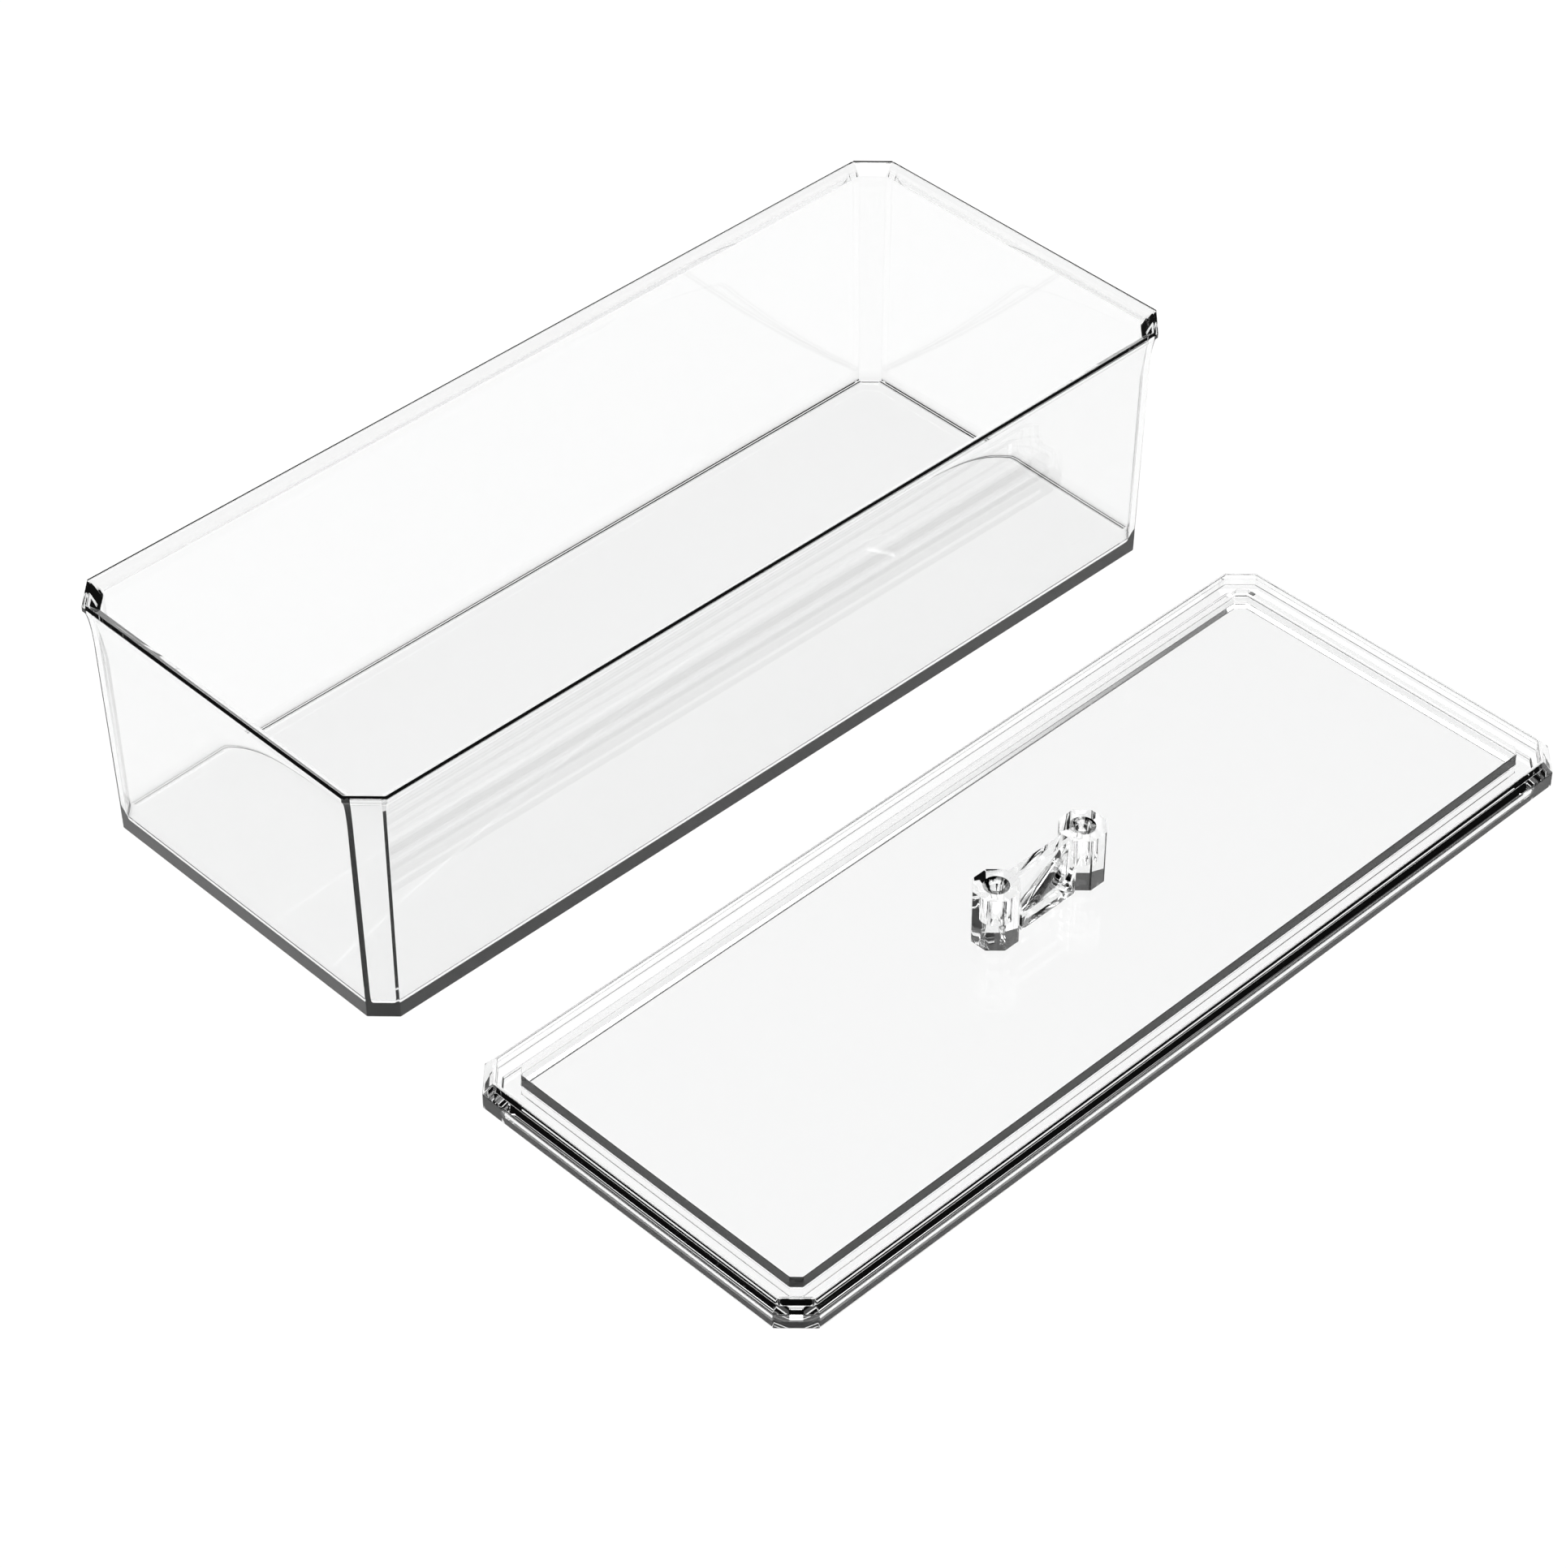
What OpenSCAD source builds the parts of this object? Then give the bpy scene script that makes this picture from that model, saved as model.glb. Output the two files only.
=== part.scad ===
// Long clear acrylic storage box with cut corners and a lift-off lid.
// The lid lies beside the box, handle up. Origin: middle of the box's underside, +X along
// its length, +Z up. All sizes are in millimetres.

/* [Box] */
// Length of the box, outside, at the rim
box_length = 250; // [200:1:320]
// Width of the box, outside, at the rim
box_width = 101.6; // [90:0.2:160]
// Height of the box without its lid
box_height = 65.6; // [50:0.2:120]
// Leg of the cut across each corner, at the rim
corner_cut = 6.8; // [5.6:0.1:14]
// Thickness of the side walls
wall = 2.4; // [1.8:0.1:3.4]
// Thickness of the floor
floor_thick = 2.3; // [1.6:0.1:4]
// How far each wall leans in from below the rim to the floor
lean = 1.1; // [0:0.1:3]
// Radius of the cove where the walls meet the floor inside
cove_radius = 2.2; // [1:0.1:5]

/* [Rim] */
// How far the rim flares out past the wall
flare = 1.6; // [0.6:0.1:2.2]
// Height over which the rim flares out
flare_height = 12.4; // [6:0.2:16]
// Height of the plain upright band at the top of the rim
rim_band = 1.2; // [0.8:0.1:3]
// Width of the flat land round the top of the rim
rim_land = 1.0; // [0.8:0.1:2.6]
// Depth of the slope that leads the lid's lip in, below the land
seat_depth = 2.1; // [1.2:0.1:4]

/* [Lid] */
// How far the lid's edge stays inside the box's rim, all round
lid_reveal = 0.2; // [0:0.1:0.6]
// Side clearance of the lid's lip inside the walls
lip_gap = 0.4; // [0.2:0.1:0.8]
// How much shorter the lip is than the slope is deep
lip_float = 0.3; // [0.1:0.1:0.6]
// Height of the lid's upright edge
edge_height = 4.0; // [2:0.1:6]
// Width of the bevel above the upright edge
bevel_width = 2.3; // [1:0.1:4]
// Height of the bevel above the upright edge
bevel_height = 2.6; // [1:0.1:4]
// Width of the flat ridge inside the bevel
ridge_width = 0.6; // [0.4:0.1:2]
// Depth of the channel between the ridge and the panel
channel_depth = 3.0; // [2:0.1:3.4]
// Width of the lid's border, from its edge in to the panel
border = 8.1; // [5.5:0.1:14]
// Thickness of the lid's panel inside the border
panel_thick = 4.0; // [3.8:0.1:5.2]

/* [Handle] */
// Distance between the middles of the two posts
post_spacing = 27.6; // [22:0.2:50]
// Width of each eight-sided post across its flats
post_width = 10.4; // [9:0.2:14]
// Height of the posts above the lid's panel
post_height = 14.6; // [10:0.2:25]
// Diameter of the hole in the top of each post
hole_diameter = 3.8; // [3:0.1:5]
// Diameter of the mouth of each hole
mouth_diameter = 6.0; // [5.4:0.1:7.6]
// Depth of the cone at the mouth of each hole
mouth_depth = 1.2; // [0.6:0.1:2.5]
// Depth of each hole
hole_depth = 9; // [4:0.2:9.4]
// Thickness of the web between the posts
web_thick = 2.8; // [2:0.1:4]
// Width of the foot under the web
foot_width = 6.4; // [4.4:0.1:8]
// Height of the foot under the web
foot_height = 2.2; // [1.2:0.1:4]
// Radius where the foot turns up to the posts
foot_radius = 5; // [2:0.2:5.4]

/* [Layout] */
// Where the middle of the lid lies along the box's length
lid_x = 1.5; // [-20:0.1:20]
// Clear space between the box's rim and the lid beside it
lid_apart = 24.2; // [5:0.1:80]
// Turn of the lid on the table, in degrees
lid_turn = 0.5; // [-2:0.1:2]

/* [Hidden] */
// Straight steps that make up a quarter of a rounded profile
arc_steps = 8;
// Extra length by which a cutter passes the face that it opens
over = 1;
hole_facets = 48;

// Levels of the box
rim_foot = box_height - rim_band;
flare_foot = rim_foot - flare_height;
seat_level = box_height - seat_depth;

// How far the leaning outer wall lies inside the rim's outline at a height
function wall_inset(z) = flare + lean * (1 - z / flare_foot);
seat_inset = wall_inset(seat_level) + wall;

// The lid's footprint, its lip and its levels above the table
lid_length = box_length - 2 * lid_reveal;
lid_width = box_width - 2 * lid_reveal;
lid_cut = corner_cut - (2 - sqrt(2)) * lid_reveal;
lip_inset = seat_inset + lip_gap - lid_reveal;
lip_depth = seat_depth - lip_float;
bevel_foot = lip_depth + edge_height;
panel_top = bevel_foot + bevel_height;
channel_inset = bevel_width + ridge_width;
channel_floor = panel_top - channel_depth;
lid_y = -(box_width / 2 + lid_apart + lid_width / 2);

// Eight-sided posts: across the corners, and the length of web between their flats
post_corners = post_width / cos(22.5);
web_length = post_spacing - post_width;

// Outline of a symmetric section: at each height, the half width less the profile's inset
function mirrored(half, profile) = concat(
    [for (p = profile) [half - p[0], p[1]]],
    [for (i = [len(profile) - 1:-1:0]) [profile[i][0] - half, profile[i][1]]]
);

// Long bar that carries one pair of opposite sides
module side_pair(half, profile, turn, reach) {
    rotate([0, 0, turn])
        rotate([90, 0, 0])
            linear_extrude(height = reach, center = true)
                polygon(mirrored(half, profile));
}

// Oblong with cut corners, drawn in evenly all round by the profile's inset at each height
module cut_corner_form(length, width, cut, profile) {
    reach = length + width;
    corner_half = (length / 2 + width / 2 - cut) / sqrt(2);
    intersection() {
        side_pair(length / 2, profile, 0, reach);
        side_pair(width / 2, profile, 90, reach);
        side_pair(corner_half, profile, 45, reach);
        side_pair(corner_half, profile, -45, reach);
    }
}

// Outside of the box, from the underside up: leaning wall, curved flare, upright band
outer_profile = concat(
    [[wall_inset(0), 0]],
    [for (i = [0:arc_steps]) let (a = 90 * i / arc_steps)
        [flare * cos(a), flare_foot + flare_height * sin(a)]],
    [[0, box_height]]
);

// Inside of the box, from the floor up: cove, leaning wall, slope up to the land
cove_level = floor_thick + cove_radius;
cove_inset = wall_inset(cove_level) + wall;
inner_profile = concat(
    [for (i = [0:arc_steps]) let (a = 90 * i / arc_steps)
        [cove_inset + cove_radius * (1 - sin(a)), cove_level - cove_radius * cos(a)]],
    [[seat_inset, seat_level],
     [rim_land, box_height],
     [rim_land, box_height + over]]
);

module box_tray() {
    color([0.93, 0.95, 0.95, 0.35])
        difference() {
            cut_corner_form(box_length, box_width, corner_cut, outer_profile);
            cut_corner_form(box_length, box_width, corner_cut, inner_profile);
        }
}

// Puts what is drawn about the lid's own middle where the lid lies beside the box
module on_the_table() {
    translate([lid_x, lid_y, 0]) rotate([0, 0, lid_turn]) children();
}

// Upright slab with the lid's outline drawn in by an inset, between two heights
module lid_slab(inset, low, high) {
    half_length = lid_length / 2 - inset;
    half_width = lid_width / 2 - inset;
    cut = lid_cut - (2 - sqrt(2)) * inset;
    translate([0, 0, low])
        linear_extrude(height = high - low)
            polygon([
                for (corner = [[1, 1], [-1, 1], [-1, -1], [1, -1]])
                    for (end = [0, 1])
                        let (along = (corner[0] * corner[1] > 0) == (end == 0))
                        [corner[0] * (half_length - (along ? 0 : cut)),
                         corner[1] * (half_width - (along ? cut : 0))]
            ]);
}

// Edge of the lid, from its underside up: upright edge, then bevel
edge_profile = [
    [0, lip_depth],
    [0, bevel_foot],
    [bevel_width, panel_top]
];

// Room taken by the channel that runs all round between the ridge and the panel
module channel() {
    difference() {
        lid_slab(channel_inset, channel_floor, panel_top + over);
        lid_slab(border, channel_floor - over, panel_top + 2 * over);
    }
}

module lid_panel() {
    color([0.93, 0.95, 0.95, 0.35])
        on_the_table()
            difference() {
                union() {
                    lid_slab(lip_inset, 0, channel_floor);
                    cut_corner_form(lid_length, lid_width, lid_cut, edge_profile);
                }
                channel();
                lid_slab(border, -over, panel_top - panel_thick);
            }
}

// One eight-sided post with a flared hole in its top
module post() {
    difference() {
        rotate([0, 0, 22.5]) cylinder(h = post_height, d = post_corners, $fn = 8);
        translate([0, 0, post_height - hole_depth])
            cylinder(h = hole_depth + over, d = hole_diameter, $fn = hole_facets);
        translate([0, 0, post_height - mouth_depth])
            cylinder(h = mouth_depth, d1 = hole_diameter, d2 = mouth_diameter, $fn = hole_facets);
    }
}

// Side view of the foot: a low bar whose ends turn up to the posts in a curve
module foot_outline() {
    half = web_length / 2;
    difference() {
        translate([-half, 0]) square([web_length, foot_height + foot_radius]);
        translate([-half + foot_radius, foot_height])
            square([web_length - 2 * foot_radius, foot_radius + over]);
        for (side = [-1, 1])
            translate([side * (half - foot_radius), foot_height + foot_radius])
                circle(r = foot_radius, $fn = hole_facets);
    }
}

module web() {
    translate([-web_length / 2, -web_thick / 2, 0]) cube([web_length, web_thick, post_height]);
    rotate([90, 0, 0])
        linear_extrude(height = foot_width, center = true)
            foot_outline();
}

module lid_handle() {
    color([0.9, 0.92, 0.93, 0.35])
        on_the_table()
            translate([0, 0, panel_top])
                union() {
                    for (side = [-1, 1]) translate([side * post_spacing / 2, 0, 0]) post();
                    web();
                }
}

box_tray();
lid_panel();
lid_handle();
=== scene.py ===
"""Looks of a long clear acrylic storage box with a lift-off lid lying beside it."""
import math

import bmesh
import bpy
from bpy.props import FloatProperty, FloatVectorProperty, IntProperty, PointerProperty
from mathutils import Matrix, Vector


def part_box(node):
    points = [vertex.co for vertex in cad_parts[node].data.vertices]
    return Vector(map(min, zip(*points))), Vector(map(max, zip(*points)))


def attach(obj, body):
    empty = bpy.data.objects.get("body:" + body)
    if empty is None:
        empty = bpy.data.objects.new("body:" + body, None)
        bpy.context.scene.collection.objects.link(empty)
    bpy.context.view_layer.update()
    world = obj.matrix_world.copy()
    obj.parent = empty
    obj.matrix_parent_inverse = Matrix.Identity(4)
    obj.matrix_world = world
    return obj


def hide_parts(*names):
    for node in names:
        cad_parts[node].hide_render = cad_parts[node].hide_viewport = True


bl_info = {
    "name": "Clear Storage Box",
    "version": (1, 0, 0),
    "blender": (4, 5, 0),
    "location": "View3D > Sidebar > Clear Box",
    "description": "Builds a clear acrylic storage box, its lid with a post handle, and a pale stage",
    "category": "Add Mesh",
}

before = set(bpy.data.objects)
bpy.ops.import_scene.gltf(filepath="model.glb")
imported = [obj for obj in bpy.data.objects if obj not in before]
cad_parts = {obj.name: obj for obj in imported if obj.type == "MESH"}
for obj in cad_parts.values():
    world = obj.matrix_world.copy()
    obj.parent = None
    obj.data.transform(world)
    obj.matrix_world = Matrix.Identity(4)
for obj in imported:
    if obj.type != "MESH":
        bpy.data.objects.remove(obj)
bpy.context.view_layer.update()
MM = 0.001

TRAY_LOW, TRAY_HIGH = (Vector(corner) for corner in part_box("box_tray"))
LID_LOW, LID_HIGH = (Vector(corner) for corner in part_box("lid_panel"))
TRAY_SIZE = TRAY_HIGH - TRAY_LOW
LID_MIDDLE = (LID_LOW + LID_HIGH) / 2

# Hair's breadth of air between the handle's foot and the lid's panel
JOINT_GAP = 0.02 * MM

# Points of the handle's mesh that lie closer than this are one point
SAME_POINT = 1e-6

# Straight steps in a quarter turn of the flare, and of the small roundings
FLARE_STEPS = 12
ROUNDING_STEPS = 6

# Share of light that the acrylic lets through to what lies under it
CLEAR_SHARE = 0.995

# Amounts of moulding waves and wear on the flat plates, and on the small handle
PLATE_SURFACE = {"Wave Scale": 45, "Wave Depth": 0.02, "Haze": 0.012, "Hairlines": 0.03}
HANDLE_SURFACE = {"Wave Scale": 90, "Wave Depth": 0.03, "Haze": 0.015, "Hairlines": 0.03}

# How far the lid's edge stays inside the tray's rim
LID_REVEAL = 0.2 * MM

# A cut corner's leg shrinks by this share of an even inset
CUT_SHARE = 2 - math.sqrt(2)


class TrayShape(bpy.types.PropertyGroup):
    """Sizes of the open box"""
    corner_cut: FloatProperty(name="Corner cut", description="Leg of the cut corner at the rim",
                              default=6.8 * MM, unit="LENGTH")
    wall: FloatProperty(name="Wall", description="Thickness of the side walls",
                        default=2.4 * MM, unit="LENGTH")
    floor_thick: FloatProperty(name="Floor", description="Thickness of the floor",
                               default=2.3 * MM, unit="LENGTH")
    lean: FloatProperty(name="Lean", description="How far the wall leans in from the flare to the floor",
                        default=1.1 * MM, unit="LENGTH")
    cove: FloatProperty(name="Cove", description="Radius where the inside walls meet the floor",
                        default=2.2 * MM, unit="LENGTH")
    flare: FloatProperty(name="Flare", description="How far the rim stands out past the wall",
                         default=1.6 * MM, unit="LENGTH")
    flare_height: FloatProperty(name="Flare height", description="Height over which the rim flares out",
                                default=12.4 * MM, unit="LENGTH")
    rim_band: FloatProperty(name="Rim band", description="Height of the upright band of the rim",
                            default=1.2 * MM, unit="LENGTH")
    land: FloatProperty(name="Land", description="Width of the flat top of the rim",
                        default=1.0 * MM, unit="LENGTH")
    foot_round: FloatProperty(name="Foot rounding", description="Radius of the outer bottom edge",
                              default=0.3 * MM, unit="LENGTH")
    seat: FloatProperty(name="Seat", description="Depth of the slope inside the land",
                        default=2.1 * MM, unit="LENGTH")


class LidShape(bpy.types.PropertyGroup):
    """Sizes of the lid"""
    length: FloatProperty(name="Length", description="Length of the lid",
                          default=TRAY_SIZE.x - 2 * LID_REVEAL, unit="LENGTH")
    width: FloatProperty(name="Width", description="Width of the lid",
                         default=TRAY_SIZE.y - 2 * LID_REVEAL, unit="LENGTH")
    turn: FloatProperty(name="Turn", description="Turn of the lid on the table",
                        default=math.radians(0.5), unit="ROTATION")
    lip_inset: FloatProperty(name="Lip inset", description="How far the lip stands in from the edge",
                             default=3.96 * MM, unit="LENGTH")
    lip_depth: FloatProperty(name="Lip depth", description="Depth of the lip below the edge",
                             default=1.8 * MM, unit="LENGTH")
    edge_height: FloatProperty(name="Edge height", description="Height of the upright edge",
                               default=4.0 * MM, unit="LENGTH")
    bevel_width: FloatProperty(name="Bevel width", description="Width of the bevel over the edge",
                               default=2.3 * MM, unit="LENGTH")
    ridge_width: FloatProperty(name="Ridge", description="Width of the flat ridge inside the bevel",
                               default=0.6 * MM, unit="LENGTH")
    channel_depth: FloatProperty(name="Channel", description="Depth of the channel round the panel",
                                 default=3.0 * MM, unit="LENGTH")
    border: FloatProperty(name="Border", description="Width of the border, in to the panel",
                          default=8.1 * MM, unit="LENGTH")
    panel_thick: FloatProperty(name="Panel", description="Thickness of the panel",
                               default=4.0 * MM, unit="LENGTH")


class FinishShape(bpy.types.PropertyGroup):
    """Finish of the clear acrylic"""
    edge_round: FloatProperty(name="Edge rounding", description="Width of the rounding of moulded edges",
                              default=0.25 * MM, unit="LENGTH")
    round_steps: IntProperty(name="Rounding steps", description="Segments in each rounded edge",
                             default=2, min=1, max=5)
    handle_round: FloatProperty(name="Handle rounding", description="Width of the rounding of the handle",
                                default=0.45 * MM, unit="LENGTH")
    plate_angle: FloatProperty(name="Plate edges", description="Least turn of a rounded edge",
                               default=math.radians(16), unit="ROTATION")
    handle_angle: FloatProperty(name="Handle edges", description="Least turn of a rounded handle edge",
                                default=math.radians(30), unit="ROTATION")
    tray_tint: FloatVectorProperty(name="Tray tint", description="Tint of the tray's acrylic",
                                   default=(0.958, 0.96, 0.959), subtype="COLOR", min=0, max=1)
    lid_tint: FloatVectorProperty(name="Lid tint", description="Tint of the lid's and handle's acrylic",
                                  default=(0.99, 0.992, 0.991), subtype="COLOR", min=0, max=1)
    refraction: FloatProperty(name="Refraction", description="Index of refraction of acrylic",
                              default=1.49, min=1.0, max=2.0)


class StageShape(bpy.types.PropertyGroup):
    """Floor, light and camera"""
    floor_reach: FloatProperty(name="Floor reach", description="Half the side of the floor",
                               default=0.55, unit="LENGTH")
    floor_drop: FloatProperty(name="Floor drop", description="How far the floor lies under the pieces",
                              default=0.05 * MM, unit="LENGTH")
    floor_colour: FloatVectorProperty(name="Floor colour", description="Colour of the plain floor",
                                      default=(0.92, 0.92, 0.92), subtype="COLOR", min=0, max=1)
    overhead: FloatProperty(name="Overhead light", description="Strength of the soft light overhead",
                            default=4.1, min=0)
    dim_below: FloatProperty(name="Dim below", description="Sine of the elevation where light begins",
                             default=0.80, min=0, max=1)
    bright_above: FloatProperty(name="Bright above", description="Sine of the elevation of full light",
                                default=0.92, min=0, max=1)
    dim: FloatProperty(name="Dim", description="Brightness of the surroundings below the light",
                       default=0.02, min=0, max=1)
    eye: FloatVectorProperty(name="Camera place", description="Where the camera stands",
                             default=(-0.551646, -0.619641, 0.693489),
                             subtype="TRANSLATION", unit="LENGTH")
    lens: FloatProperty(name="Lens", description="Focal length for a 36 mm wide frame",
                        default=105.12, subtype="DISTANCE_CAMERA")


class BoxSettings(bpy.types.PropertyGroup):
    """All the settings of the clear box"""
    tray: PointerProperty(type=TrayShape)
    lid: PointerProperty(type=LidShape)
    finish: PointerProperty(type=FinishShape)
    stage: PointerProperty(type=StageShape)


def cut_corner_ring(length, width, cut, height):
    """The eight corners of an oblong with cut corners, at one height."""
    x, y = length / 2, width / 2
    return [
        (-x + cut, y, height), (-x, y - cut, height), (-x, -y + cut, height), (-x + cut, -y, height),
        (x - cut, -y, height), (x, -y + cut, height), (x, y - cut, height), (x - cut, y, height),
    ]


def loft(name, length, width, cut, section):
    """A closed solid through rings drawn in by each inset of the section, at each height."""
    mesh = bpy.data.meshes.new(name)
    work = bmesh.new()
    rings = []
    for inset, height in section:
        corners = cut_corner_ring(length - 2 * inset, width - 2 * inset, cut - CUT_SHARE * inset, height)
        rings.append([work.verts.new(corner) for corner in corners])
    for lower, upper in zip(rings, rings[1:]):
        for side in range(8):
            after = (side + 1) % 8
            work.faces.new((lower[side], lower[after], upper[after], upper[side]))
    work.faces.new(rings[0])
    work.faces.new(list(reversed(rings[-1])))
    bmesh.ops.recalc_face_normals(work, faces=work.faces)
    work.to_mesh(mesh)
    work.free()
    return mesh


def add_piece(name, mesh, body, node, material, width, steps, angle):
    """A piece with rounded edges that stands for a CAD node and rides on its body."""
    piece = bpy.data.objects.new(name, mesh)
    bpy.context.scene.collection.objects.link(piece)
    for face in mesh.polygons:
        face.use_smooth = True
    mesh.set_sharp_from_angle(angle=angle)
    rounding = piece.modifiers.new("rounded_edges", "BEVEL")
    rounding.width = width
    rounding.segments = steps
    rounding.limit_method = "ANGLE"
    rounding.angle_limit = angle
    rounding.harden_normals = True
    mesh.materials.append(material)
    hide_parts(node)
    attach(piece, body)
    return piece


def moulded_surface_group():
    """Faint waves and hairline wear of a moulded, handled clear surface."""
    name = "moulded_surface"
    if name in bpy.data.node_groups:
        return bpy.data.node_groups[name]
    group = bpy.data.node_groups.new(name, "ShaderNodeTree")
    face = group.interface
    for label, low, high, value in (("Wave Scale", 1, 400, 60), ("Wave Depth", 0, 1, 0.02),
                                    ("Haze", 0, 1, 0.02), ("Hairlines", 0, 1, 0.01)):
        socket = face.new_socket(label, in_out="INPUT", socket_type="NodeSocketFloat")
        socket.min_value, socket.max_value, socket.default_value = low, high, value
    face.new_socket("Roughness", in_out="OUTPUT", socket_type="NodeSocketFloat")
    face.new_socket("Normal", in_out="OUTPUT", socket_type="NodeSocketVector")
    nodes, links = group.nodes, group.links
    entry = nodes.new("NodeGroupInput")
    leave = nodes.new("NodeGroupOutput")
    place = nodes.new("ShaderNodeTexCoord")
    waves = nodes.new("ShaderNodeTexNoise")
    waves.inputs["Detail"].default_value = 1.0
    links.new(place.outputs["Object"], waves.inputs["Vector"])
    links.new(entry.outputs["Wave Scale"], waves.inputs["Scale"])
    bump = nodes.new("ShaderNodeBump")
    bump.inputs["Distance"].default_value = 0.0002
    links.new(waves.outputs["Fac"], bump.inputs["Height"])
    links.new(entry.outputs["Wave Depth"], bump.inputs["Strength"])
    links.new(bump.outputs["Normal"], leave.inputs["Normal"])
    stretch = nodes.new("ShaderNodeMapping")
    stretch.inputs["Scale"].default_value = (40, 900, 300)
    stretch.inputs["Rotation"].default_value = (0, 0, math.radians(24))
    links.new(place.outputs["Object"], stretch.inputs["Vector"])
    lines = nodes.new("ShaderNodeTexNoise")
    lines.inputs["Scale"].default_value = 1.0
    lines.inputs["Detail"].default_value = 3.0
    links.new(stretch.outputs["Vector"], lines.inputs["Vector"])
    thin = nodes.new("ShaderNodeMapRange")
    thin.inputs["From Min"].default_value = 0.66
    thin.inputs["From Max"].default_value = 0.72
    links.new(lines.outputs["Fac"], thin.inputs["Value"])
    wear = nodes.new("ShaderNodeMath")
    wear.operation = "MULTIPLY"
    links.new(thin.outputs["Result"], wear.inputs[0])
    links.new(entry.outputs["Hairlines"], wear.inputs[1])
    cloud = nodes.new("ShaderNodeTexNoise")
    cloud.inputs["Scale"].default_value = 22.0
    links.new(place.outputs["Object"], cloud.inputs["Vector"])
    haze = nodes.new("ShaderNodeMath")
    haze.operation = "MULTIPLY"
    links.new(cloud.outputs["Fac"], haze.inputs[0])
    links.new(entry.outputs["Haze"], haze.inputs[1])
    total = nodes.new("ShaderNodeMath")
    total.operation = "ADD"
    links.new(wear.outputs["Value"], total.inputs[0])
    links.new(haze.outputs["Value"], total.inputs[1])
    links.new(total.outputs["Value"], leave.inputs["Roughness"])
    return group


def let_light_through(nodes, links, shader):
    """Lets soft light reach what lies under the acrylic, as real clear plastic does."""
    path = nodes.new("ShaderNodeLightPath")
    either = nodes.new("ShaderNodeMath")
    either.operation = "MAXIMUM"
    links.new(path.outputs["Is Shadow Ray"], either.inputs[0])
    links.new(path.outputs["Is Diffuse Ray"], either.inputs[1])
    clear = nodes.new("ShaderNodeBsdfTransparent")
    clear.inputs["Color"].default_value = (CLEAR_SHARE, CLEAR_SHARE, CLEAR_SHARE, 1)
    mix = nodes.new("ShaderNodeMixShader")
    links.new(either.outputs["Value"], mix.inputs["Fac"])
    links.new(shader.outputs["BSDF"], mix.inputs[1])
    links.new(clear.outputs["BSDF"], mix.inputs[2])
    links.new(mix.outputs["Shader"], nodes["Material Output"].inputs["Surface"])


def clear_acrylic(name, finish, tint, amounts):
    """Clear acrylic with its own amounts of moulding waves, haze and hairlines."""
    material = bpy.data.materials.new(name)
    material.use_nodes = True
    nodes, links = material.node_tree.nodes, material.node_tree.links
    shader = nodes["Principled BSDF"]
    shader.inputs["Base Color"].default_value = (*tint, 1)
    shader.inputs["Transmission Weight"].default_value = 1.0
    shader.inputs["IOR"].default_value = finish.refraction
    surface = nodes.new("ShaderNodeGroup")
    surface.node_tree = moulded_surface_group()
    for label, amount in amounts.items():
        surface.inputs[label].default_value = amount
    links.new(surface.outputs["Roughness"], shader.inputs["Roughness"])
    links.new(surface.outputs["Normal"], shader.inputs["Normal"])
    let_light_through(nodes, links, shader)
    return material


def quarter(steps):
    """Angles of a quarter turn in even steps."""
    return [math.pi / 2 * step / steps for step in range(steps + 1)]


def tray_section(shape, height):
    """Section of the tray's shell, from the underside out, up, over the rim and down inside."""
    flare_foot = height - shape.rim_band - shape.flare_height

    def wall_inset(z):
        return shape.flare + shape.lean * (1 - z / flare_foot)

    foot = shape.foot_round
    outside = [(wall_inset(0) + foot * (1 - math.sin(a)), foot * (1 - math.cos(a)))
               for a in quarter(ROUNDING_STEPS)]
    outside += [(shape.flare * math.cos(a), flare_foot + shape.flare_height * math.sin(a))
                for a in quarter(FLARE_STEPS)]
    seat_level = height - shape.seat
    rim = [(0, height), (shape.land, height)]
    cove_level = shape.floor_thick + shape.cove
    cove_inset = wall_inset(cove_level) + shape.wall
    inside = [(wall_inset(seat_level) + shape.wall, seat_level)]
    inside += [(cove_inset + shape.cove * (1 - math.sin(a)), cove_level - shape.cove * math.cos(a))
               for a in reversed(quarter(ROUNDING_STEPS))]
    return outside + rim + inside


class CLEARBOX_OT_tray(bpy.types.Operator):
    """Build the open box"""
    bl_idname = "clearbox.tray"
    bl_label = "Tray"

    def execute(self, context):
        settings = context.scene.clear_box
        shape = settings.tray
        section = tray_section(shape, TRAY_SIZE.z)
        mesh = loft("tray", TRAY_SIZE.x, TRAY_SIZE.y, shape.corner_cut, section)
        finish = settings.finish
        material = clear_acrylic("clear_tray", finish, finish.tray_tint, PLATE_SURFACE)
        add_piece("tray", mesh, "box", "box_tray", material,
                  finish.edge_round, finish.round_steps, finish.plate_angle)
        return {"FINISHED"}


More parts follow.
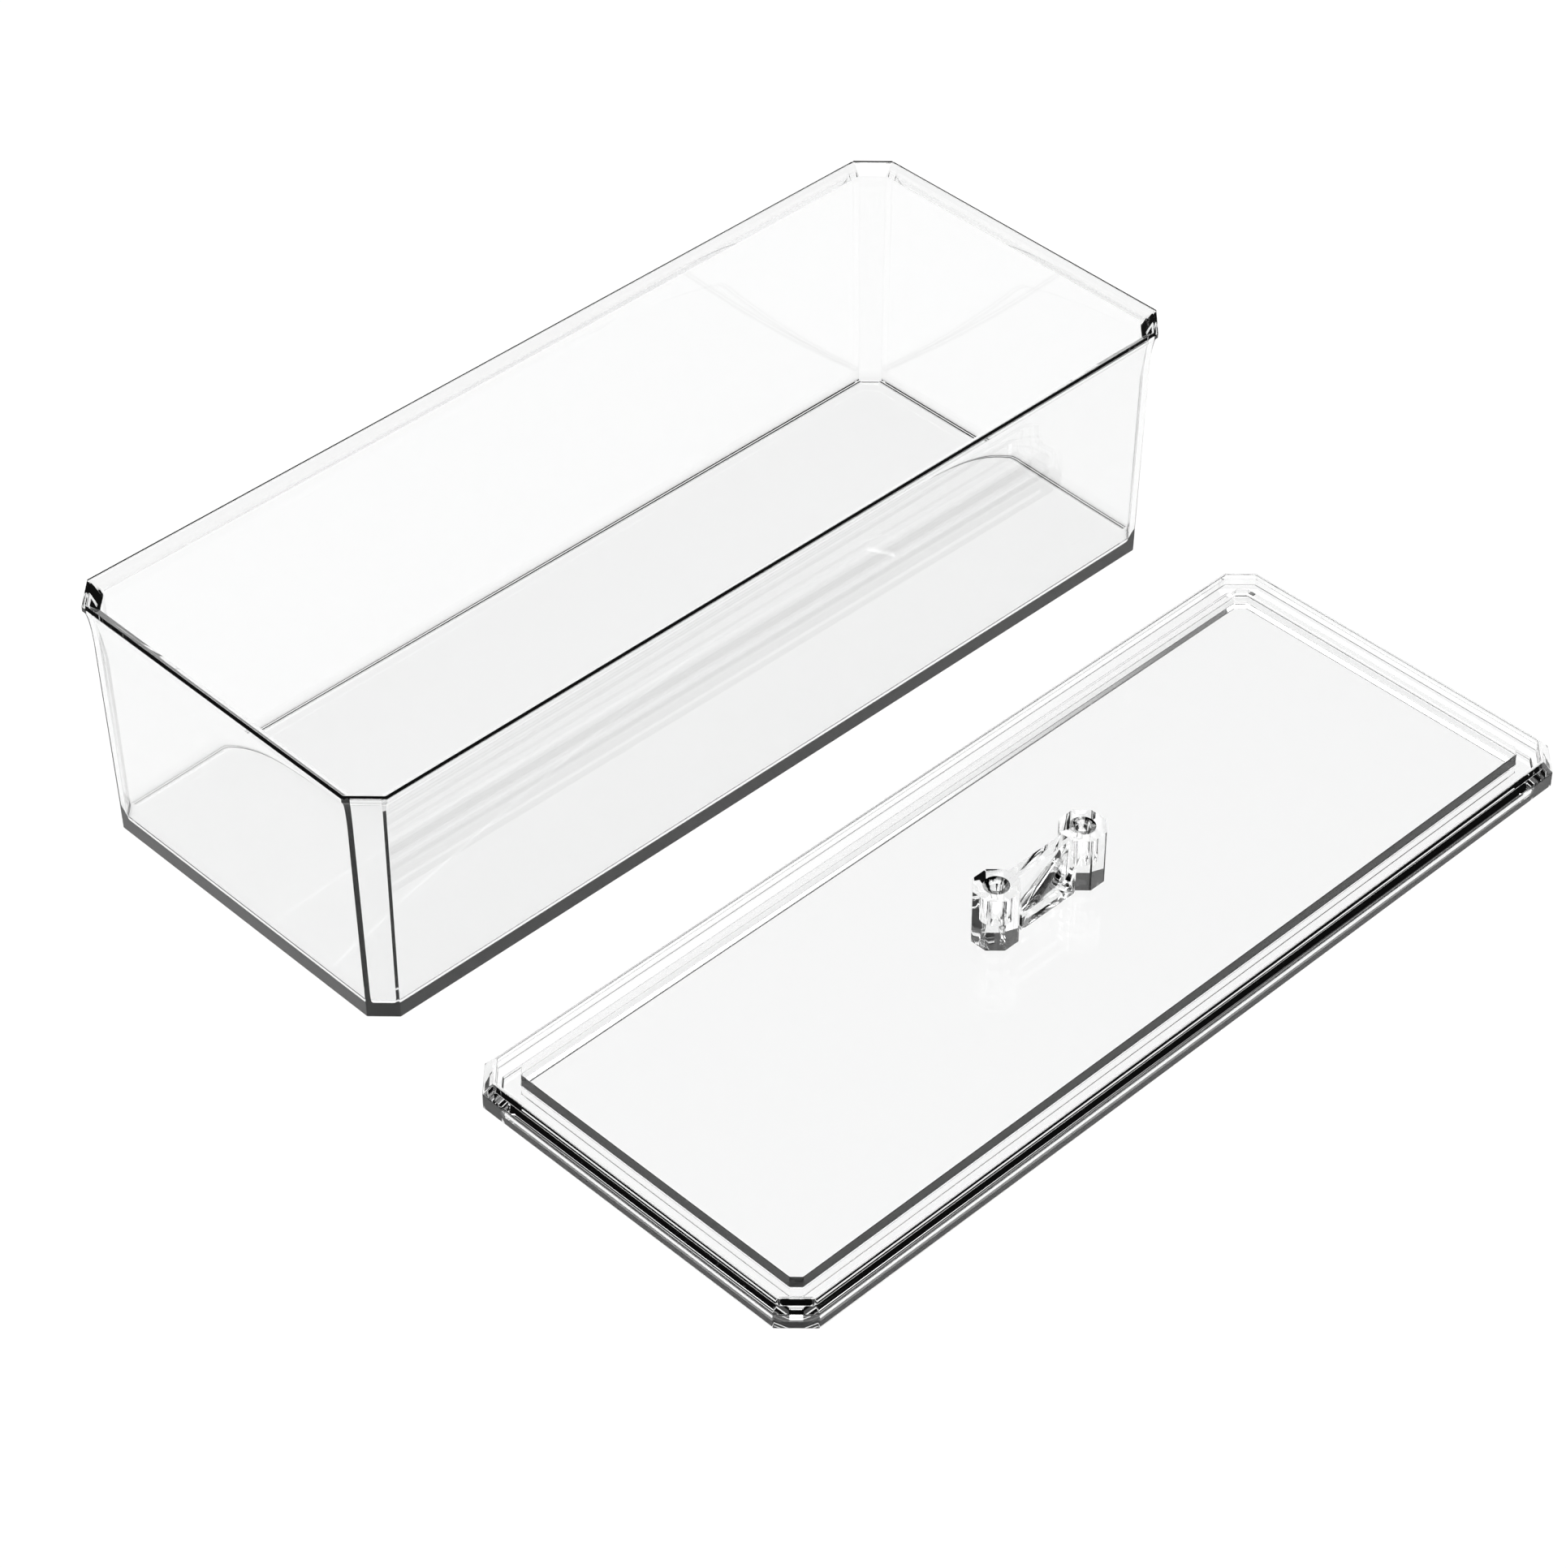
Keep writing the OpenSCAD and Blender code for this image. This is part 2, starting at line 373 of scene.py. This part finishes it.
class CLEARBOX_OT_lid(bpy.types.Operator):
    """Build the lid's panel and border"""
    bl_idname = "clearbox.lid"
    bl_label = "Lid"

    def execute(self, context):
        settings = context.scene.clear_box
        shape = settings.lid
        top = LID_HIGH.z
        bevel_foot = shape.lip_depth + shape.edge_height
        ridge = shape.bevel_width + shape.ridge_width
        channel_floor = top - shape.channel_depth
        section = [
            (shape.border, top - shape.panel_thick), (shape.border, 0), (shape.lip_inset, 0),
            (shape.lip_inset, shape.lip_depth), (0, shape.lip_depth), (0, bevel_foot),
            (shape.bevel_width, top), (ridge, top), (ridge, channel_floor),
            (shape.border, channel_floor), (shape.border, top),
        ]
        cut = settings.tray.corner_cut - CUT_SHARE * LID_REVEAL
        mesh = loft("lid", shape.length, shape.width, cut, section)
        place = Matrix.Translation((LID_MIDDLE.x, LID_MIDDLE.y, 0))
        mesh.transform(place @ Matrix.Rotation(shape.turn, 4, "Z"))
        finish = settings.finish
        material = clear_acrylic("clear_lid", finish, finish.lid_tint, PLATE_SURFACE)
        add_piece("lid", mesh, "lid", "lid_panel", material,
                  finish.edge_round, finish.round_steps, finish.plate_angle)
        return {"FINISHED"}


class CLEARBOX_OT_handle(bpy.types.Operator):
    """Build the lid's handle"""
    bl_idname = "clearbox.handle"
    bl_label = "Handle"

    def execute(self, context):
        finish = context.scene.clear_box.finish
        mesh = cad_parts["lid_handle"].data.copy()
        mesh.name = "handle"
        mesh.materials.clear()
        work = bmesh.new()
        work.from_mesh(mesh)
        bmesh.ops.remove_doubles(work, verts=work.verts, dist=SAME_POINT)
        bmesh.ops.dissolve_limit(work, angle_limit=math.radians(1), verts=work.verts, edges=work.edges)
        for vert in work.verts:
            if vert.co.z < LID_HIGH.z + JOINT_GAP:
                vert.co.z = LID_HIGH.z + JOINT_GAP
        work.to_mesh(mesh)
        work.free()
        material = clear_acrylic("clear_handle", finish, finish.lid_tint, HANDLE_SURFACE)
        add_piece("handle", mesh, "lid", "lid_handle", material,
                  finish.handle_round, finish.round_steps, finish.handle_angle)
        return {"FINISHED"}


def pale_floor(shape):
    """A plain floor that looks white past the object and keeps its shadow."""
    reach, level = shape.floor_reach, -shape.floor_drop
    mesh = bpy.data.meshes.new("floor")
    corners = [(x * reach, y * reach, level) for x, y in ((-1, -1), (1, -1), (1, 1), (-1, 1))]
    mesh.from_pydata(corners, [], [(0, 1, 2, 3)])
    floor = bpy.data.objects.new("floor", mesh)
    bpy.context.scene.collection.objects.link(floor)
    material = bpy.data.materials.new("floor_white")
    material.use_nodes = True
    shader = material.node_tree.nodes["Principled BSDF"]
    shader.inputs["Base Color"].default_value = (*shape.floor_colour, 1)
    shader.inputs["Roughness"].default_value = 1.0
    mesh.materials.append(material)


def soft_world(scene, shape):
    """Soft light overhead, and dim surroundings that draw the dark edges of the clear pieces."""
    world = bpy.data.worlds.new("soft_light")
    scene.world = world
    world.use_nodes = True
    nodes, links = world.node_tree.nodes, world.node_tree.links
    background = nodes["Background"]
    place = nodes.new("ShaderNodeTexCoord")
    split = nodes.new("ShaderNodeSeparateXYZ")
    ramp = nodes.new("ShaderNodeValToRGB")
    links.new(place.outputs["Generated"], split.inputs[0])
    links.new(split.outputs["Z"], ramp.inputs[0])
    low, high = ramp.color_ramp.elements
    low.position, high.position = shape.dim_below, shape.bright_above
    low.color = (shape.dim, shape.dim, shape.dim, 1)
    high.color = (1, 1, 1, 1)
    links.new(ramp.outputs[0], background.inputs["Color"])
    background.inputs["Strength"].default_value = shape.overhead


def photo_camera(scene, shape):
    """The camera at the photograph's viewing angle."""
    lens = bpy.data.cameras.new("camera")
    camera = bpy.data.objects.new("camera", lens)
    scene.collection.objects.link(camera)
    lens.sensor_fit = "HORIZONTAL"
    lens.sensor_width = 36
    lens.lens = shape.lens
    lens.clip_start = 0.01
    right = Vector((0.71915216, -0.69484872, -0.00233084))
    ahead = Vector((0.5209581, 0.54139311, -0.65992132))
    up = right.cross(ahead)
    turn = Matrix((right, up, -ahead)).transposed()
    camera.matrix_world = Matrix.Translation(shape.eye) @ turn.to_4x4()
    scene.camera = camera


class CLEARBOX_OT_stage(bpy.types.Operator):
    """Build the floor, the light and the camera"""
    bl_idname = "clearbox.stage"
    bl_label = "Stage"

    def execute(self, context):
        scene = context.scene
        shape = scene.clear_box.stage
        pale_floor(shape)
        soft_world(scene, shape)
        photo_camera(scene, shape)
        scene.view_settings.view_transform = "Standard"
        return {"FINISHED"}


class CLEARBOX_PT_panel(bpy.types.Panel):
    """Settings of the clear box"""
    bl_label = "Clear Box"
    bl_idname = "CLEARBOX_PT_panel"
    bl_space_type = "VIEW_3D"
    bl_region_type = "UI"
    bl_category = "Clear Box"

    def draw(self, context):
        settings = context.scene.clear_box
        for title, group, operator in (
            ("Tray", settings.tray, "clearbox.tray"),
            ("Lid", settings.lid, "clearbox.lid"),
            ("Handle", settings.finish, "clearbox.handle"),
            ("Stage", settings.stage, "clearbox.stage"),
        ):
            column = self.layout.box().column()
            column.label(text=title)
            for name in group.__annotations__:
                column.prop(group, name)
            column.operator(operator)


CLASSES = (
    TrayShape, LidShape, FinishShape, StageShape, BoxSettings,
    CLEARBOX_OT_tray, CLEARBOX_OT_lid, CLEARBOX_OT_handle, CLEARBOX_OT_stage, CLEARBOX_PT_panel,
)


def register():
    for item in CLASSES:
        bpy.utils.register_class(item)
    bpy.types.Scene.clear_box = PointerProperty(type=BoxSettings)


def unregister():
    del bpy.types.Scene.clear_box
    for item in reversed(CLASSES):
        bpy.utils.unregister_class(item)


def main():
    register()
    bpy.ops.clearbox.tray()
    bpy.ops.clearbox.lid()
    bpy.ops.clearbox.handle()
    bpy.ops.clearbox.stage()


if __name__ == "__main__":
    main()
